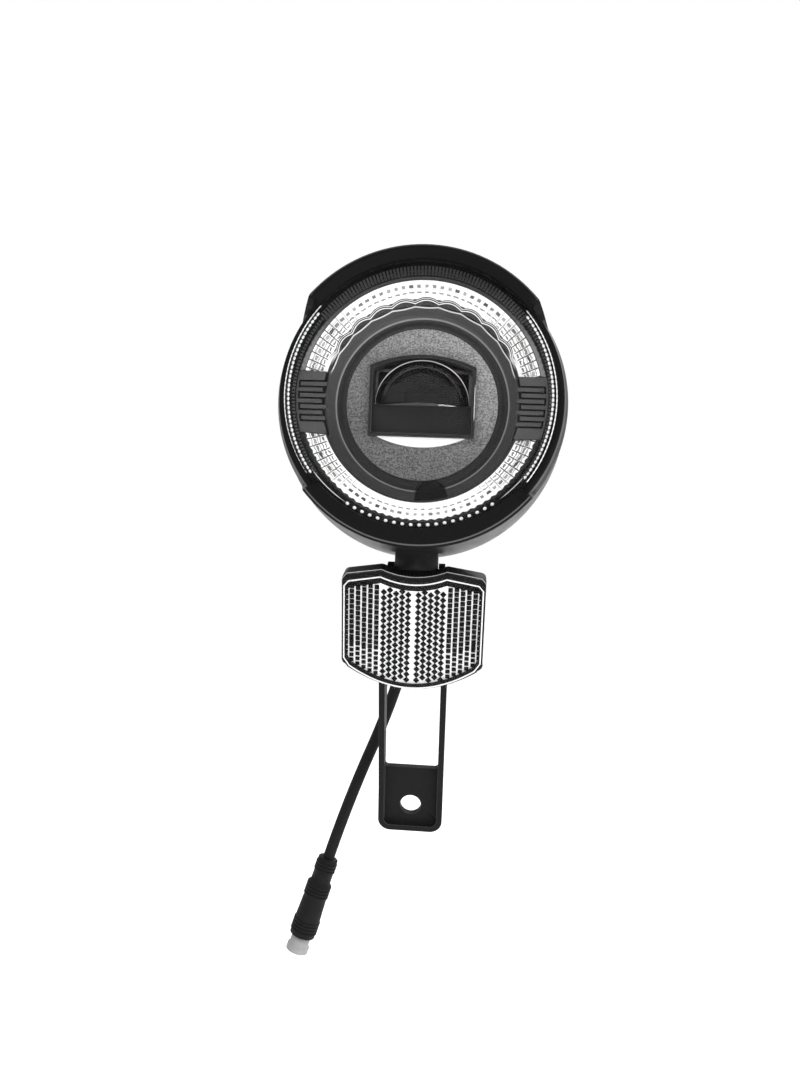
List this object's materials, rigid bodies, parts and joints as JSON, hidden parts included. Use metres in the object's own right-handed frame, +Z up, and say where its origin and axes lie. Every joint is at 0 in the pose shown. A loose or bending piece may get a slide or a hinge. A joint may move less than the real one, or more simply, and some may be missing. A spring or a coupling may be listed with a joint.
{
  "type": "bicycle headlight",
  "caption": "Round hooded headlight that tilts on a slim pressed bracket, with a prismatic reflector below the lamp and a short cable that ends in a small round plug.",
  "frame": {"origin": "centre of the bracket's bolt hole, half way through the plate", "axes": "+Z up as mounted on an upright fork, -Y the way the lamp shines, +X to the right of someone who looks at the lamp's front"},
  "size_m": [0.0804, 0.0658, 0.2165],
  "materials": {
    "housing_black": "satin",
    "bezel_black": "semi-gloss",
    "clear_cover": "clear",
    "seal_rubber": "matt",
    "dark_trim": "matt",
    "mask_grey": "satin",
    "guide_white": "milky, prismatic",
    "circuit_board": "solder mask",
    "light_source": "phosphor",
    "zinc_screw": "zinc plated",
    "plate_grey": "fine grain",
    "clear_optic": "clear",
    "bright_reflector": "vacuum metallised",
    "sink_aluminium": "die cast",
    "board_parts": "matt",
    "wire_cover": "satin",
    "bush_brass": "turned",
    "bracket_black": "satin powder coat",
    "steel_fastener": "zinc plated",
    "carrier_black": "satin",
    "reflector_clear": "clear, prismatic back",
    "cable_cover": "satin",
    "sleeve_grey": "satin",
    "contact_brass": "plated"
  },
  "bodies": {
    "bracket": {"mounting_bracket": "bracket_black", "pivot_bolt": "steel_fastener", "pivot_nut": "steel_fastener", "pivot_washers": "steel_fastener", "reflector_carrier": "carrier_black", "reflector_lens": "reflector_clear", "reflector_screw": "zinc_screw"},
    "lamp_head": {"rear_housing": "housing_black", "front_bezel": "bezel_black", "front_lens": "clear_cover", "lens_seal": "seal_rubber", "rim_ring": "dark_trim", "mask_bowl": "mask_grey", "side_grille_left": "dark_trim", "side_grille_right": "dark_trim", "light_guide_upper": "guide_white", "light_guide_lower": "guide_white", "ring_board": "circuit_board", "ring_lights": "light_source", "ring_board_screws": "zinc_screw", "centre_plate": "plate_grey", "projector_frame": "dark_trim", "projector_lens": "clear_optic", "projector_shade": "dark_trim", "projector_lip": "guide_white", "sensor_window": "dark_trim", "collector": "bright_reflector", "main_light_source": "light_source", "main_light_board": "circuit_board", "heat_sink": "sink_aluminium", "heat_sink_screws": "zinc_screw", "driver_board": "circuit_board", "driver_board_parts": "board_parts", "lead_wires": "wire_cover", "housing_seal": "seal_rubber", "cable_grommet": "seal_rubber", "pivot_bush": "bush_brass", "cable": "cable_cover", "connector_overmould": "cable_cover", "connector_sleeve": "sleeve_grey", "connector_core": "dark_trim", "connector_pins": "contact_brass"}
  },
  "joints": [
    {"name": "lamp_tilt", "type": "hinge", "parent": "bracket", "child": "lamp_head", "pos_m": [0, -0.02411, 0.07067], "axis": [1, 0, 0], "range_deg": [-15, 20]}
  ]
}
